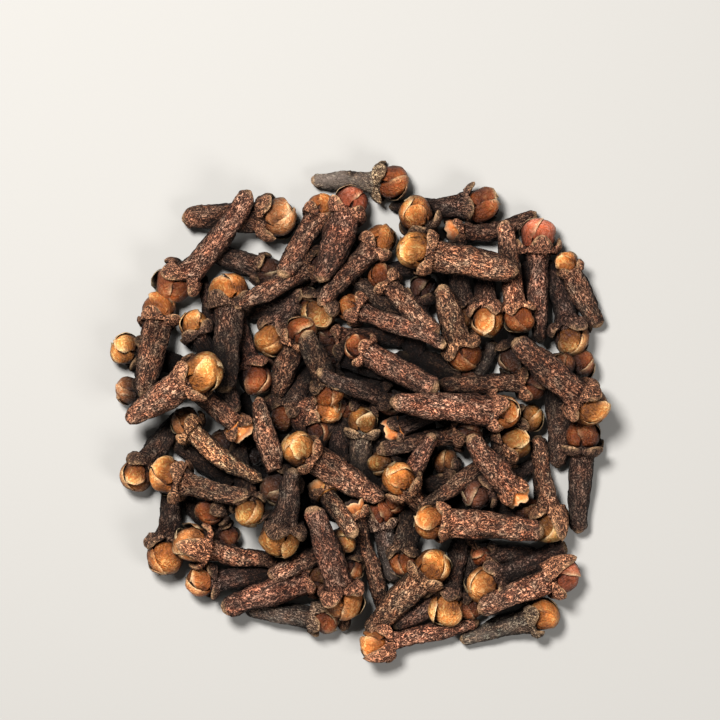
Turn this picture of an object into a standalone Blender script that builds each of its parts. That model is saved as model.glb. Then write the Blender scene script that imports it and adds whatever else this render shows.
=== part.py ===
"""A loose, thin heap of whole dried cloves, about 62 mm across and 12 mm high.

Every clove is a low-sided loft: a stem that thickens towards four sepals, with a
round bud between them. The cloves lie where the real ones lie, seen from above.
Their heights follow from a settling rule, from the bottom layer to the top one.
One union joins them to a small flat core that is hidden under the middle.
"""

import math

import bmesh
import bpy
import numpy as np
from mathutils import Matrix, Vector

MM = 0.001

# Settling rule, in mm
CELL = 0.25
HALF_FIELD = 36.0
PRESS = 0.6
STEEPEST = 0.38
SLOPE_STEPS = 77
CLEAR_SHARE = 0.97
BALANCE = 0.62
FLOOR_GAP = 0.06

# Core under the middle, in mm
CORE_AT = (-1.0, -4.0)
CORE_RADIUS = 11.5
CORE_TOP_RADIUS = 9.5
CORE_HEIGHT = 2.4
CORE_SIDES = 12
CORE_MARGIN = 1.0

# Stem outline: share of the way from tail to head, share of the half width
STEM_OUTLINE = ((0.0, 0.50), (0.06, 0.70), (0.34, 0.90), (0.62, 1.0), (0.82, 0.95), (1.0, 0.95))
STEM_STATIONS = (0.06, 0.34, 0.66)
LOW_STATIONS = (0.06, 0.5)

# Calyx and bud, as shares of the bud's radius
NECK_BACK = 1.15
NECK_GIRTH = 0.92
SEPAL_BACK = 0.40
SEPAL_REACH = 1.22
SEPAL_NOTCH = 0.80
BUD_RINGS = ((0.15, 0.97), (0.72, 0.66))
LOW_BUD_RINGS = ((0.35, 0.93),)
CUP_RISE = 0.5
CUP_RIM = 0.9
CUP_DEPTH = 0.35

# The end of a stem without a head: share of its length, share of its half width
STUB_END = (0.97, 0.76)

# How far each clove is turned about its own axis
STRAIGHT_DOWN = -math.pi / 2.0
TURN_STEP = 2.4

CLOVE_BROWN = (0.098, 0.045, 0.024, 1.0)
CLOVE_ROUGHNESS = 0.72

# One row for each clove, in mm, with the heap's middle at 0, 0:
# head x, head y, tail x, tail y, stem width, bud width, bend to the left, form
BOTTOM_LAYER = (
    (-10.4, 23.8, -22.4, 23.8, 3.7, 4.9, 0.3, "bud"),
    (-11.6, 17.1, -19.6, 19.7, 3.0, 3.4, 0.0, "bud"),
    (-17.6, 6.0, -19.8, 17.0, 2.2, 3.2, 0.0, "bud"),
    (-13.2, 3.8, -15.7, 12.6, 2.6, 4.2, 0.0, "bud"),
    (-20.8, 10.3, -15.4, -0.7, 2.8, 3.7, 0.0, "bud"),
    (3.9, 28.3, -6.1, 28.7, 2.7, 4.2, 0.0, "bud"),
    (15.3, 25.3, 3.6, 25.2, 2.5, 4.2, 0.0, "bud"),
    (7.0, 24.2, 12.0, 14.8, 2.8, 4.3, 0.0, "bud"),
    (13.0, 11.8, 11.6, 20.5, 2.8, 3.8, 0.0, "bud"),
    (8.0, 14.9, 6.0, 3.4, 2.8, 3.4, 0.0, "bud"),
    (26.6, 8.7, 23.9, 18.6, 2.8, 4.4, 0.0, "bud"),
    (27.6, 5.3, 17.6, 4.6, 2.6, 3.7, 0.0, "bud"),
    (19.2, 6.2, 21.3, 18.6, 2.6, 3.6, 0.0, "bud"),
    (11.6, -0.6, 17.1, 8.3, 2.8, 4.0, 0.0, "bud"),
    (-11.0, 8.6, -6.6, 16.4, 2.8, 4.2, 0.0, "bud"),
    (-5.3, 11.8, -1.0, 20.6, 2.8, 4.4, 0.0, "bud"),
    (-1.8, 0.2, 6.0, 6.8, 2.4, 2.8, 0.0, "bud"),
    (-3.4, 6.6, 6.5, 3.6, 2.6, 3.2, 0.0, "bud"),
    (-29.3, 7.3, -18.9, 4.0, 3.0, 3.9, 0.0, "bud"),
    (-28.9, 2.1, -19.5, 3.0, 2.8, 3.4, 0.0, "bud"),
    (-17.3, -4.6, -10.0, -11.5, 2.8, 3.4, 0.0, "bud"),
    (-28.0, -8.4, -22.2, -0.6, 3.0, 4.2, 0.0, "bud"),
    (-24.4, -18.5, -23.3, -7.3, 3.0, 4.8, 0.0, "bud"),
    (-16.7, -16.1, -22.4, -11.4, 2.6, 2.9, 0.0, "bud"),
    (-18.8, -12.9, -9.5, -8.3, 2.8, 3.6, 0.0, "bud"),
    (-13.7, -12.9, -15.5, -3.5, 2.6, 3.7, 0.0, "bud"),
    (-10.1, -10.0, -3.2, -1.6, 2.8, 4.4, 0.0, "bud"),
    (-19.9, -21.8, -8.6, -20.8, 2.8, 3.8, 0.0, "bud"),
    (-4.5, -26.5, -14.6, -25.2, 2.8, 3.6, 0.0, "bud"),
    (-3.4, -17.2, -1.9, -28.0, 2.2, 3.4, 0.0, "bud"),
    (2.9, -7.0, 9.8, 1.0, 2.6, 3.4, 0.0, "bud"),
    (21.4, -1.4, 12.2, -3.4, 2.6, 3.2, 0.0, "bud"),
    (25.1, 5.0, 24.9, -7.6, 3.3, 3.6, 0.0, "bud"),
    (28.0, -3.5, 27.3, -15.8, 3.3, 4.4, 0.0, "bud"),
    (2.1, -29.8, 15.0, -27.0, 2.5, 4.0, 0.0, "bud"),
    (-1.1, -20.3, -1.6, -11.0, 2.4, 2.8, 0.0, "bud"),
    (13.4, -3.0, 2.6, -5.2, 2.4, 3.6, 0.0, "bud"),
    (3.8, -2.8, 12.6, 0.6, 2.4, 3.0, 0.0, "cup"),
    (10.8, -6.9, 15.4, -14.8, 2.6, 3.1, 0.0, "bud"),
    (14.6, -10.9, 22.0, -7.0, 2.6, 3.6, 0.0, "bud"),
)
MIDDLE_LAYER = (
    (-16.3, 14.4, -16.9, 2.0, 3.4, 4.9, 0.0, "bud"),
    (-5.4, 18.0, -15.7, 12.6, 2.8, 3.8, 0.0, "bud"),
    (2.6, 21.0, -5.3, 13.0, 2.8, 4.0, 0.3, "bud"),
    (11.3, 22.1, 22.3, 24.3, 2.6, 3.2, 1.0, "cup"),
    (19.9, 11.2, 18.0, 23.5, 2.7, 3.4, 0.0, "bud"),
    (26.0, 18.2, 30.0, 10.1, 3.3, 2.8, 0.0, "bud"),
    (16.0, 11.0, 15.2, 19.5, 2.8, 4.0, 0.0, "bud"),
    (12.9, 6.9, 10.0, 15.4, 3.2, 4.4, 0.0, "bud"),
    (2.8, 16.3, 9.8, 9.0, 2.8, 3.4, 0.0, "bud"),
    (21.6, 3.0, 9.8, 2.5, 2.7, 3.6, 0.3, "bud"),
    (-4.1, -0.2, -9.6, 0.3, 2.3, 3.2, 0.0, "bud"),
    (-7.4, 9.6, -10.6, 1.2, 3.2, 3.6, 0.0, "bud"),
    (-3.8, 2.2, -6.9, 9.6, 3.0, 3.6, 0.0, "bud"),
    (0.4, -1.8, -0.7, -10.8, 3.0, 3.8, 0.0, "bud"),
    (-14.6, -3.0, -21.2, 3.0, 2.6, 3.2, 0.0, "cup"),
    (-10.0, -16.0, -8.2, -7.4, 3.0, 4.9, 0.0, "bud"),
    (-5.2, -21.2, -17.3, -25.2, 3.6, 3.8, 0.0, "bud"),
    (-2.4, -16.7, -11.3, -21.2, 2.6, 3.2, 0.0, "bud"),
    (-0.9, -12.2, 3.0, -25.4, 2.2, 2.8, 0.0, "cup"),
    (-5.0, -9.7, -0.5, -16.0, 2.5, 3.2, 0.0, "cup"),
    (4.6, -11.4, 9.2, -3.2, 2.6, 3.6, 0.0, "bud"),
    (4.9, -8.9, 10.6, -15.4, 2.8, 4.0, 0.0, "bud"),
    (19.3, -4.6, 7.3, -12.8, 2.4, 4.0, 0.0, "bud"),
    (23.8, -14.7, 22.3, -3.5, 2.6, 4.4, 0.0, "bud"),
    (15.6, -22.3, 26.0, -17.4, 2.9, 4.6, 0.0, "bud"),
    (10.8, -25.1, 13.0, -15.3, 2.8, 4.4, 0.0, "bud"),
    (23.0, -26.0, 12.6, -29.3, 2.6, 4.0, 0.0, "bud"),
    (18.0, -20.6, 12.6, -15.6, 1.1, 1.1, 0.0, "stub"),
)
TOP_LAYER = (
    (-23.4, 15.7, -13.6, 27.1, 3.3, 4.6, 0.8, "bud"),
    (-4.8, 25.1, -9.9, 16.4, 3.0, 3.4, 0.0, "bud"),
    (-1.2, 25.7, -4.9, 15.7, 4.0, 4.2, 0.0, "bud"),
    (7.0, 19.7, 19.7, 16.9, 3.9, 4.8, 0.0, "bud"),
    (22.3, 21.5, 22.4, 8.1, 2.7, 4.4, 0.0, "bud"),
    (-1.1, 12.6, 10.7, 7.8, 2.3, 3.5, 0.0, "bud"),
    (28.6, 0.3, 19.1, 8.5, 3.5, 4.9, 0.0, "bud"),
    (3.6, 0.8, -5.4, 4.5, 2.3, 3.4, 0.0, "bud"),
    (17.9, -0.5, 3.9, 0.7, 3.8, 4.0, 0.0, "bud"),
    (-0.2, 7.6, 9.6, 2.2, 3.4, 3.2, 0.0, "bud"),
    (2.3, -13.4, 4.4, -22.1, 2.7, 3.6, 0.0, "bud"),
    (-7.6, -5.1, 3.0, -11.3, 3.6, 4.2, 0.3, "bud"),
    (-10.7, -7.9, -12.9, 1.4, 2.9, 2.4, 0.0, "stub"),
    (-25.2, 12.3, -27.0, 1.3, 3.6, 4.2, 0.0, "bud"),
    (-19.5, 4.4, -29.2, -1.4, 3.7, 4.9, 0.0, "bud"),
    (-21.8, -1.8, -12.2, -9.1, 2.7, 3.6, 0.7, "bud"),
    (-23.9, -8.6, -14.0, -11.2, 2.7, 4.6, 0.3, "bud"),
    (-21.1, -16.9, -9.8, -19.5, 2.7, 4.4, 0.4, "bud"),
    (-2.0, -24.0, -5.9, -12.2, 3.5, 4.8, 0.0, "bud"),
    (8.9, -14.2, 23.0, -15.4, 3.5, 4.2, 0.0, "bud"),
    (19.7, -11.0, 13.4, -3.5, 3.2, 3.4, 0.0, "bud"),
    (25.3, -21.0, 14.7, -25.2, 3.3, 4.4, 0.0, "bud"),
    (9.1, -19.9, 0.9, -28.4, 3.2, 4.4, 0.0, "bud"),
)

# Cloves that lie on the floor in the gaps between the others, and hardly show
FILL_LAYER = (
    (12.0, 18.6, 3.4, 17.3, 2.6, 3.2, 0.0, "stub"),
    (6.8, 10.6, -1.4, 16.2, 3.0, 3.4, 0.0, "stub"),
    (13.4, 3.4, 7.0, 6.8, 3.0, 3.2, 0.0, "stub"),
    (-15.2, -9.9, -23.6, -4.4, 2.8, 3.4, 0.0, "stub"),
    (-6.4, -18.6, -7.2, -10.8, 2.2, 3.0, 0.0, "stub"),
    (5.4, -19.4, 6.8, -10.4, 3.4, 3.6, 0.0, "stub"),
    (20.6, -12.8, 9.8, -12.0, 2.6, 3.4, 0.0, "stub"),
    (11.2, -23.4, 4.0, -27.6, 3.0, 3.2, 0.0, "stub"),
    (13.9, -25.0, 14.4, -17.4, 2.3, 3.0, 0.0, "stub"),
    (15.4, -18.5, 22.4, -18.2, 2.4, 3.0, 0.0, "stub"),
    (-6.6, 13.6, -14.4, 11.5, 2.4, 3.0, 0.0, "stub"),
)


def clear_scene():
    for old in list(bpy.data.objects):
        bpy.data.objects.remove(old, do_unlink=True)


def clove_material():
    material = bpy.data.materials.new("clove_brown")
    material.use_nodes = True
    shader = material.node_tree.nodes["Principled BSDF"]
    shader.inputs["Base Color"].default_value = CLOVE_BROWN
    shader.inputs["Roughness"].default_value = CLOVE_ROUGHNESS
    shader.inputs["Metallic"].default_value = 0.0
    return material


class Heap:
    """The height of what lies on the floor so far, on a fine square grid."""

    def __init__(self):
        line = np.arange(-HALF_FIELD, HALF_FIELD, CELL)
        self.x, self.y = np.meshgrid(line, line, indexing="ij")
        self.ground = np.zeros_like(self.x)

    def footprint(self, row):
        head_x, head_y, tail_x, tail_y, stem, bud, bend = row[:7]
        reach = math.hypot(head_x - tail_x, head_y - tail_y)
        along_x, along_y = (head_x - tail_x) / reach, (head_y - tail_y) / reach
        from_x, from_y = self.x - tail_x, self.y - tail_y
        along = from_x * along_x + from_y * along_y
        share = np.clip(along / reach, 0.0, 1.0)
        across = from_y * along_x - from_x * along_y
        across = across - bend * 4.0 * share * (1.0 - share)
        half = stem / 2.0 * np.interp(share, *zip(*STEM_OUTLINE))
        on_stem = (along >= 0.0) & (along <= reach)
        stem_room = np.where(on_stem, half ** 2 - across ** 2, -1.0)
        bud_room = (bud / 2.0) ** 2 - (along - reach) ** 2 - across ** 2
        room = np.maximum(stem_room, bud_room)
        cells = room > 0.0
        station = np.where(bud_room > stem_room, reach, along)
        return reach, cells, station[cells], np.sqrt(room[cells])

    def settle(self, row):
        """Lay a clove down: the lowest tilt and height that clears nearly all it lies on."""
        reach, cells, station, depth = self.footprint(row)
        need = np.maximum(self.ground[cells] - PRESS, 0.0) + depth
        slopes = np.linspace(-STEEPEST, STEEPEST, SLOPE_STEPS)
        lifts = np.quantile(need[None, :] - slopes[:, None] * station[None, :], CLEAR_SHARE, axis=1)
        best = np.argmin(lifts + slopes * BALANCE * reach)
        lift, slope = lifts[best], slopes[best]
        lowest = (lift + slope * station - depth).min()
        lift += max(0.0, -lowest) + FLOOR_GAP
        top = lift + slope * station + depth
        self.ground[cells] = np.maximum(self.ground[cells], top)
        return lift, slope, reach

    def lay_low(self, row):
        """Lay a clove flat on the floor, in the gap that it fills."""
        head_x, head_y, tail_x, tail_y, stem, bud = row[:6]
        reach = math.hypot(head_x - tail_x, head_y - tail_y)
        lift = stem / 2.0 * STEM_OUTLINE[1][1] + FLOOR_GAP
        slope = (bud / 2.0 + FLOOR_GAP - lift) / reach
        return lift, slope, reach


def clove_rings(stem, bud, form, length, sides, stations, bud_rings):
    """Rings from tail to bud, each as its place along the axis and its list of radii."""
    radius = bud / 2.0
    rings = []
    for share in stations:
        girth = stem / 2.0 * np.interp(share, *zip(*STEM_OUTLINE))
        rings.append((share * length, [girth] * sides))
    if form == "stub":
        rings.append((length * STUB_END[0], [stem / 2.0 * STUB_END[1]] * sides))
        return rings, length
    rings.append((length - NECK_BACK * radius, [stem / 2.0 * NECK_GIRTH] * sides))
    tips = [SEPAL_REACH if side % 2 == 0 else SEPAL_NOTCH for side in range(sides)]
    rings.append((length - SEPAL_BACK * radius, [tip * radius for tip in tips]))
    if form == "cup":
        rings.append((length + CUP_RISE * radius, [radius * CUP_RIM] * sides))
        return rings, length + (CUP_RISE - CUP_DEPTH) * radius
    for ahead, width in bud_rings:
        rings.append((length + ahead * radius, [radius * width] * sides))
    return rings, length + radius


def floor_under(point):
    """The lowest that a clove reaches: the floor, or just over it above the core's underside."""
    from_core = math.hypot(point.x - CORE_AT[0], point.y - CORE_AT[1])
    return 0.0 if from_core > CORE_RADIUS + CORE_MARGIN else FLOOR_GAP


def loft_clove(name, row, lift, slope, reach, turn, sides, stations, bud_rings):
    head_x, head_y, tail_x, tail_y, stem, bud, bend, form = row
    length = math.hypot(reach, slope * reach)
    tail = Vector((tail_x, tail_y, lift))
    head = Vector((head_x, head_y, lift + slope * reach))
    along = (head - tail).normalized()
    left = Vector((0.0, 0.0, 1.0)).cross(along).normalized()
    up = along.cross(left)

    def axis_point(place):
        share = min(max(place / length, 0.0), 1.0)
        return tail + along * place + left * (bend * 4.0 * share * (1.0 - share))

    rings, pole = clove_rings(stem, bud, form, length, sides, stations, bud_rings)
    mesh = bmesh.new()
    start = mesh.verts.new(axis_point(0.0))
    end = mesh.verts.new(axis_point(pole))
    loops = []
    for place, radii in rings:
        centre = axis_point(place)
        loop = []
        for side, radius in enumerate(radii):
            angle = turn + 2.0 * math.pi * side / sides
            out = left * math.cos(angle) + up * math.sin(angle)
            point = centre + out * radius
            point.z = max(point.z, floor_under(point))
            loop.append(mesh.verts.new(point))
        loops.append(loop)
    for side in range(sides):
        after = (side + 1) % sides
        mesh.faces.new((start, loops[0][after], loops[0][side]))
        mesh.faces.new((end, loops[-1][side], loops[-1][after]))
        for lower, upper in zip(loops, loops[1:]):
            mesh.faces.new((lower[side], lower[after], upper[after], upper[side]))
    bmesh.ops.triangulate(mesh, faces=mesh.faces)
    bmesh.ops.recalc_face_normals(mesh, faces=mesh.faces)
    bmesh.ops.scale(mesh, vec=(MM, MM, MM), verts=mesh.verts)
    data = bpy.data.meshes.new(name)
    mesh.to_mesh(data)
    mesh.free()
    return bpy.data.objects.new(name, data)


def core_object():
    """The flat-bottomed core on which the heap rests, hidden under its middle."""
    mesh = bmesh.new()
    bmesh.ops.create_cone(
        mesh,
        cap_ends=True,
        cap_tris=False,
        segments=CORE_SIDES,
        radius1=CORE_RADIUS * MM,
        radius2=CORE_TOP_RADIUS * MM,
        depth=CORE_HEIGHT * MM,
        matrix=Matrix.Translation((CORE_AT[0] * MM, CORE_AT[1] * MM, CORE_HEIGHT / 2.0 * MM)),
    )
    data = bpy.data.meshes.new("cloves")
    mesh.to_mesh(data)
    mesh.free()
    return bpy.data.objects.new("cloves", data)


def shells(mesh):
    """The mesh's separate closed surfaces, each as its list of faces."""
    left = set(mesh.faces)
    found = []
    while left:
        shell = []
        front = [left.pop()]
        while front:
            face = front.pop()
            shell.append(face)
            for edge in face.edges:
                for other in edge.link_faces:
                    if other in left:
                        left.remove(other)
                        front.append(other)
        found.append(shell)
    return found


def shell_volume(shell):
    volume = 0.0
    for face in shell:
        corners = [loop.vert.co for loop in face.loops]
        for second, third in zip(corners[1:], corners[2:]):
            volume += corners[0].dot(second.cross(third)) / 6.0
    return volume


def join_heap(core, pieces):
    """One union of the core with the collection of cloves, without hollows and scraps."""
    union = core.modifiers.new("heap", "BOOLEAN")
    union.operation = "UNION"
    union.operand_type = "COLLECTION"
    union.collection = pieces
    union.solver = "EXACT"
    graph = bpy.context.evaluated_depsgraph_get()
    joined = bpy.data.meshes.new_from_object(core.evaluated_get(graph))
    core.modifiers.clear()
    core.data = joined
    for clove in list(pieces.objects):
        bpy.data.objects.remove(clove, do_unlink=True)
    bpy.data.collections.remove(pieces)

    mesh = bmesh.new()
    mesh.from_mesh(joined)
    bmesh.ops.triangulate(mesh, faces=mesh.faces)
    for shell in sorted(shells(mesh), key=shell_volume)[:-1]:
        bmesh.ops.delete(mesh, geom=shell, context="FACES")
    low = Vector([min(vert.co[i] for vert in mesh.verts) for i in range(3)])
    high = Vector([max(vert.co[i] for vert in mesh.verts) for i in range(3)])
    middle = Vector(((low.x + high.x) / 2.0, (low.y + high.y) / 2.0, low.z))
    bmesh.ops.translate(mesh, vec=-middle, verts=mesh.verts)
    mesh.to_mesh(joined)
    mesh.free()


def build_heap():
    heap = Heap()
    home = bpy.data.collections.new("clove_heap")
    pieces = bpy.data.collections.new("loose_cloves")
    bpy.context.scene.collection.children.link(home)
    bpy.context.scene.collection.children.link(pieces)
    layers = (
        (BOTTOM_LAYER, heap.settle, (6, LOW_STATIONS, LOW_BUD_RINGS)),
        (MIDDLE_LAYER, heap.settle, (6, STEM_STATIONS, BUD_RINGS)),
        (TOP_LAYER, heap.settle, (8, STEM_STATIONS, BUD_RINGS)),
        (FILL_LAYER, heap.lay_low, (5, LOW_STATIONS, LOW_BUD_RINGS)),
    )
    number = 0
    for layer, lay, fineness in layers:
        for row in layer:
            lift, slope, reach = lay(row)
            turn = STRAIGHT_DOWN if layer is BOTTOM_LAYER else number * TURN_STEP
            name = "loose_clove_%02d" % number
            pieces.objects.link(loft_clove(name, row, lift, slope, reach, turn, *fineness))
            number += 1
    core = core_object()
    home.objects.link(core)
    join_heap(core, pieces)
    core.data.materials.clear()
    core.data.materials.append(clove_material())


clear_scene()
build_heap()
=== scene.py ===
"""Looks of a loose heap of whole dried cloves, laid out as a Blender add-on.

Each clove is grown as a wrinkled stem with four sepals and a bud of four overlapping
petals. The cloves lie by the same settling rule as the solid that they replace.
"""

import collections
import math

import bpy
import numpy as np
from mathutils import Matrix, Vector


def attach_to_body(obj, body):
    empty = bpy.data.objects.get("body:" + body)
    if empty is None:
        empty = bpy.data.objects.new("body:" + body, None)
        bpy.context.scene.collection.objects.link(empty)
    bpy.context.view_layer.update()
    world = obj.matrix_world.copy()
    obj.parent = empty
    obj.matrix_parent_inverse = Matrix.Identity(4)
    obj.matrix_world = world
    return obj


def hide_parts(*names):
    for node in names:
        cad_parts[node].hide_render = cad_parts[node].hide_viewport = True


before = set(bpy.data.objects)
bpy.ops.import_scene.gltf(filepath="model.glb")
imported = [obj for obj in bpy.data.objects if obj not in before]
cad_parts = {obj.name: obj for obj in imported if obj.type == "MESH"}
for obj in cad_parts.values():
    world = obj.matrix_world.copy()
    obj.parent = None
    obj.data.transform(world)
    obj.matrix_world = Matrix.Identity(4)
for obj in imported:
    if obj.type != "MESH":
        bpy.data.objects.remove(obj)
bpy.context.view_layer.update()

bl_info = {
    "name": "Clove Heap",
    "version": (1, 0, 0),
    "blender": (4, 5, 0),
    "location": "3D View > Sidebar > Cloves",
    "description": "Grows a loose heap of whole dried cloves over its own low core",
    "category": "Add Mesh",
}

MM = 0.001
SEED = 41
BODY = "root"
NODE = "cloves"

# Where the middle of the heap's outline lies in the layout below, in mm
HEAP_MIDDLE = (-0.091, -0.559)

# Settling rule, in mm, as the solid has it
CELL = 0.25
HALF_FIELD = 36.0
PRESS = 0.6
STEEPEST = 0.38
SLOPE_STEPS = 77
CLEAR_SHARE = 0.97
BALANCE = 0.62
FLOOR_GAP = 0.06

# Core under the middle, in mm, as the solid has it
CORE_AT = (-1.0, -4.0)
CORE_RADIUS = 11.5
CORE_HEIGHT = 2.4
CORE_ROWS = (12, 34)
CORE_COLUMNS = 190

# Stage: where the photograph's heap lies in its frame, in pixels, and the level in metres that
# the camera's height is measured from; then the lamps' places and sizes in metres, and the room
PIXELS_PER_MM = 8.0
HEAP_PIXEL = (360.0, 408.0)
CENTRE_PIXEL = 360.0
MID_LEVEL = 0.005
KEY_AT, KEY_SIZE = (-0.11, 0.15, 0.35), 0.12
FILL_AT, FILL_SIZE = (0.19, -0.15, 0.24), 0.15
STUDIO_COLOUR = (1.0, 0.98, 0.95, 1.0)
STUDIO_STRENGTH = 0.10

# How deep in the heap a point lies: levels 1 mm apart, how far round it counts, in cells,
# and the depths in mm at which the shade starts and over which it grows
DEPTH_LEVELS = 14
NEAR_CELLS = 6
DEPTH_START = 0.10
DEPTH_FADE = 0.65

# Stem outline: share of the way from tail to head, share of the half width
STEM_OUTLINE = ((0.0, 0.50), (0.06, 0.70), (0.34, 0.90), (0.62, 1.0), (0.82, 0.95), (1.0, 0.95))

# The calyx, in radii of its bud: how far behind the bud's middle its rim lies, the rim's
# radius, and how far behind the stem starts and ends to flare
RIM_BACK = 0.50
RIM_WIDTH = 0.92
FLARE = (1.7, 0.45)

# A petal on its ball, in radians: where it starts under the calyx, and its half width
PETAL_BASE = 2.20
PETAL_WIDTH = 0.98

# The ball inside a bud: its first and last angle from the crown, and its share of the radius
BALL_TILT = (2.5, 0.06)
BALL_SHARE = 0.86

# Inside of an open cup: share of the way in, then width and height as shares of the radius
CUP_OUTLINE = (
    (0.0, 0.86, -0.6), (0.2, 1.02, -0.1), (0.35, 0.98, 0.30),
    (0.5, 0.80, 0.24), (0.8, 0.62, -0.25), (1.0, 0.05, -0.35),
)
CUP_SHREDS = 5

# How far one clove differs from the next: the lowest, the highest and how many of each
VARIES = {
    "sag": (-0.25, 0.25, None), "flat": (0.90, 1.0, None),
    "opening": (0.15, 0.90, 4), "curl": (-0.7, 0.5, 4), "reach": (0.40, 0.72, 4),
    "slant": (-0.22, 0.22, 2), "scar": (0.3, 1.0, None), "edging": (0.5, 1.0, None),
}

# The same for a petal, and for one that has shrunk back: the angle from the bud's crown that
# it reaches to, in radians, and how far its tip stands off, in mm
PETAL_CROWN = (-0.60, -0.10)
PETAL_LIFT = (-0.05, 0.08)
SHRUNK_CROWN = (0.40, 1.00)
SHRUNK_LIFT = (0.10, 0.45)

# Spreads of a clove's roll, of its hue, of its lightness and of its sepals' angles
ROLL_SPREAD = 0.26
HUE_SPREAD = 0.03
LIGHTNESS_SPREAD = 0.09
SEPAL_SPREAD = 0.08

# The sepal that arches over a hooded bud: its reach, opening and curl
HOOD = (1.30, 0.10, -0.9)

# Dust on a stem by its skin
DUST = {"grey": 0.34, "ash": 0.90}
LITTLE_DUST = 0.06

# Features of the surface: size in mm across, up and along a clove, and how far the noise
# that makes it stands apart from the clove's others
FEATURES = {
    "folds": ((0.75, 0.75, 2.4), 0.0),
    "fine folds": ((0.36, 0.36, 0.62), 31.0),
    "dents": ((1.7, 1.7, 3.0), 57.0),
    "patches": ((2.2, 2.2, 3.6), 71.0),
    "warmth": ((0.55, 0.55, 0.9), 83.0),
    "pits": ((0.42, 0.42, 0.42), 11.0),
    "lumps": ((1.5, 1.5, 1.5), 23.0),
    "veins": ((0.22, 0.5, 1.0), 0.0),
    "crumbs": ((0.5, 0.5, 0.5), 5.0),
    "ragged": ((1.0, 1.0, 1.0), 0.0),
    "sepal folds": ((0.45, 0.45, 0.9), 0.0),
    "sepal creases": ((0.25, 0.25, 0.4), 0.0),
}

# Whole numbers that scatter the corners of the noise's cells
SCATTER = (73856093, 19349663, 83492791)
STIRS = ((13, 1274126177), (15, 668265263))

# Rows and columns of faces of each surface of a clove, from the lowest layer up
FINENESS = {
    "fill": dict(stem=(28, 22), ball=(8, 14), petal=(8, 10), sepal=(7, 8)),
    "low": dict(stem=(40, 32), ball=(8, 16), cup=(18, 36), petal=(12, 14), sepal=(8, 10)),
    "middle": dict(stem=(58, 42), ball=(10, 20), cup=(22, 44), petal=(16, 20), sepal=(12, 12)),
    "top": dict(stem=(72, 52), ball=(12, 24), cup=(26, 56), petal=(22, 24), sepal=(16, 14)),
}

# One row for each clove, in mm, with the photograph's heap round 0, 0. What a row leaves out
# at its end is round, dark, rust and no bend to the left.
Row = collections.namedtuple(
    "Row", "head_x head_y tail_x tail_y stem bud form skin flesh bend",
    defaults=("round", "dark", "rust", 0.0),
)
LOW_LAYER = (
    (-10.4, 23.8, -22.4, 23.8, 3.7, 4.9, "split", "brown", "tan", 0.3),
    (-11.6, 17.1, -19.6, 19.7, 3.0, 3.4, "round", "dark", "dark"),
    (-17.6, 6.0, -19.8, 17.0, 2.2, 3.2),
    (-13.2, 3.8, -15.7, 12.6, 2.6, 4.2, "round", "brown"),
    (-20.8, 10.3, -15.4, -0.7, 2.8, 3.7, "round", "dark", "gold"),
    (3.9, 28.3, -6.1, 28.7, 2.7, 4.2, "round", "ash"),
    (15.3, 25.3, 3.6, 25.2, 2.5, 4.2, "split"),
    (7.0, 24.2, 12.0, 14.8, 2.8, 4.3, "split", "dark", "orange"),
    (13.0, 11.8, 11.6, 20.5, 2.8, 3.8, "round", "dark", "ochre"),
    (8.0, 14.9, 6.0, 3.4, 2.8, 3.4, "round", "dark", "dark"),
    (26.6, 8.7, 23.9, 18.6, 2.8, 4.4, "round", "dark", "ochre"),
    (27.6, 5.3, 17.6, 4.6, 2.6, 3.7),
    (19.2, 6.2, 21.3, 18.6, 2.6, 3.6, "round", "dark", "dark"),
    (11.6, -0.6, 17.1, 8.3, 2.8, 4.0, "round", "grey"),
    (-11.0, 8.6, -6.6, 16.4, 2.8, 4.2, "round", "dark", "ochre"),
    (-5.3, 11.8, -1.0, 20.6, 2.8, 4.4, "split", "dark", "ochre"),
    (-1.8, 0.2, 6.0, 6.8, 2.4, 2.8),
    (-3.4, 6.6, 6.5, 3.6, 2.6, 3.2),
    (-29.3, 7.3, -18.9, 4.0, 3.0, 3.9, "split", "dark", "gold"),
    (-28.9, 2.1, -19.5, 3.0, 2.8, 3.4, "round", "dark", "tan"),
    (-17.3, -4.6, -10.0, -11.5, 2.8, 3.4),
    (-28.0, -8.4, -22.2, -0.6, 3.0, 4.2, "split", "dark", "orange"),
    (-24.4, -18.5, -23.3, -7.3, 3.0, 4.8, "round", "dark", "orange"),
    (-16.7, -16.1, -22.4, -11.4, 2.6, 2.9),
    (-18.8, -12.9, -9.5, -8.3, 2.8, 3.6),
    (-13.7, -12.9, -15.5, -3.5, 2.6, 3.7, "round", "dark", "ochre"),
    (-10.1, -10.0, -3.2, -1.6, 2.8, 4.4, "round", "dark", "dark"),
    (-19.9, -21.8, -8.6, -20.8, 2.8, 3.8, "split", "dark", "orange"),
    (-4.5, -26.5, -14.6, -25.2, 2.8, 3.6, "hooded", "grey"),
    (-3.4, -17.2, -1.9, -28.0, 2.2, 3.4, "round", "red"),
    (2.9, -7.0, 9.8, 1.0, 2.6, 3.4, "round", "dark", "ochre"),
    (21.4, -1.4, 12.2, -3.4, 2.6, 3.2, "round", "dark", "ochre"),
    (25.1, 5.0, 24.9, -7.6, 3.3, 3.6),
    (28.0, -3.5, 27.3, -15.8, 3.3, 4.4),
    (2.1, -29.8, 15.0, -27.0, 2.5, 4.0, "hooded", "red", "orange"),
    (-1.1, -20.3, -1.6, -11.0, 2.4, 2.8),
    (13.4, -3.0, 2.6, -5.2, 2.4, 3.6, "round", "brown"),
    (3.8, -2.8, 12.6, 0.6, 2.4, 3.0, "open", "dark", "orange"),
    (10.8, -6.9, 15.4, -14.8, 2.6, 3.1, "round", "dark", "ochre"),
    (14.6, -10.9, 22.0, -7.0, 2.6, 3.6, "round", "dark", "dark"),
)
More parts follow.
